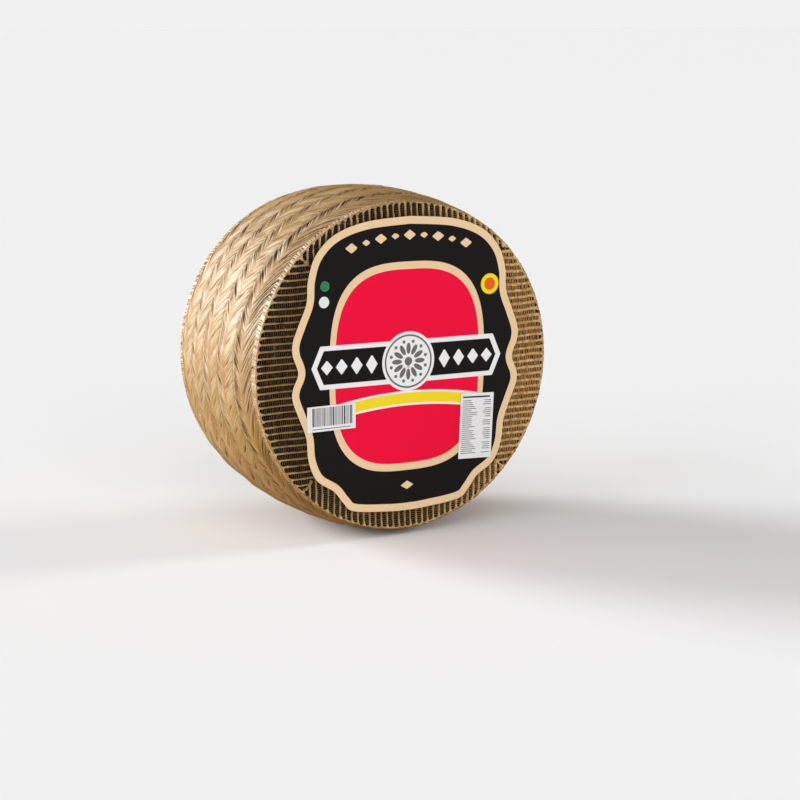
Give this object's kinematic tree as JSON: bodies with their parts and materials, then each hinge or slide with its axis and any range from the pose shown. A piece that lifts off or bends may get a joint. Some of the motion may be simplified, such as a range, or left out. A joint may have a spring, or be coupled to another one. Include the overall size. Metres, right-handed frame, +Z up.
{
  "type": "aged cheese wheel",
  "caption": "Whole wheel of aged hard cheese standing on its side, with a plaited rind, ribbed end faces, a printed paper label and small stickers.",
  "frame": {"origin": "on the ground, under the middle of the whole wheel", "axes": "+Y along the wheel's axis, away from the labelled face; +X to the right of that face; +Z up"},
  "size_m": [0.193, 0.0984, 0.191],
  "materials": {
    "rind": "waxy, pressed with a plait and ribs",
    "printed_paper": "printed, smooth",
    "white_paper": "smooth"
  },
  "bodies": {
    "root": {"cheese_wheel": "rind", "front_label": "printed_paper", "code_sticker": "white_paper", "table_sticker": "white_paper"}
  },
  "joints": []
}
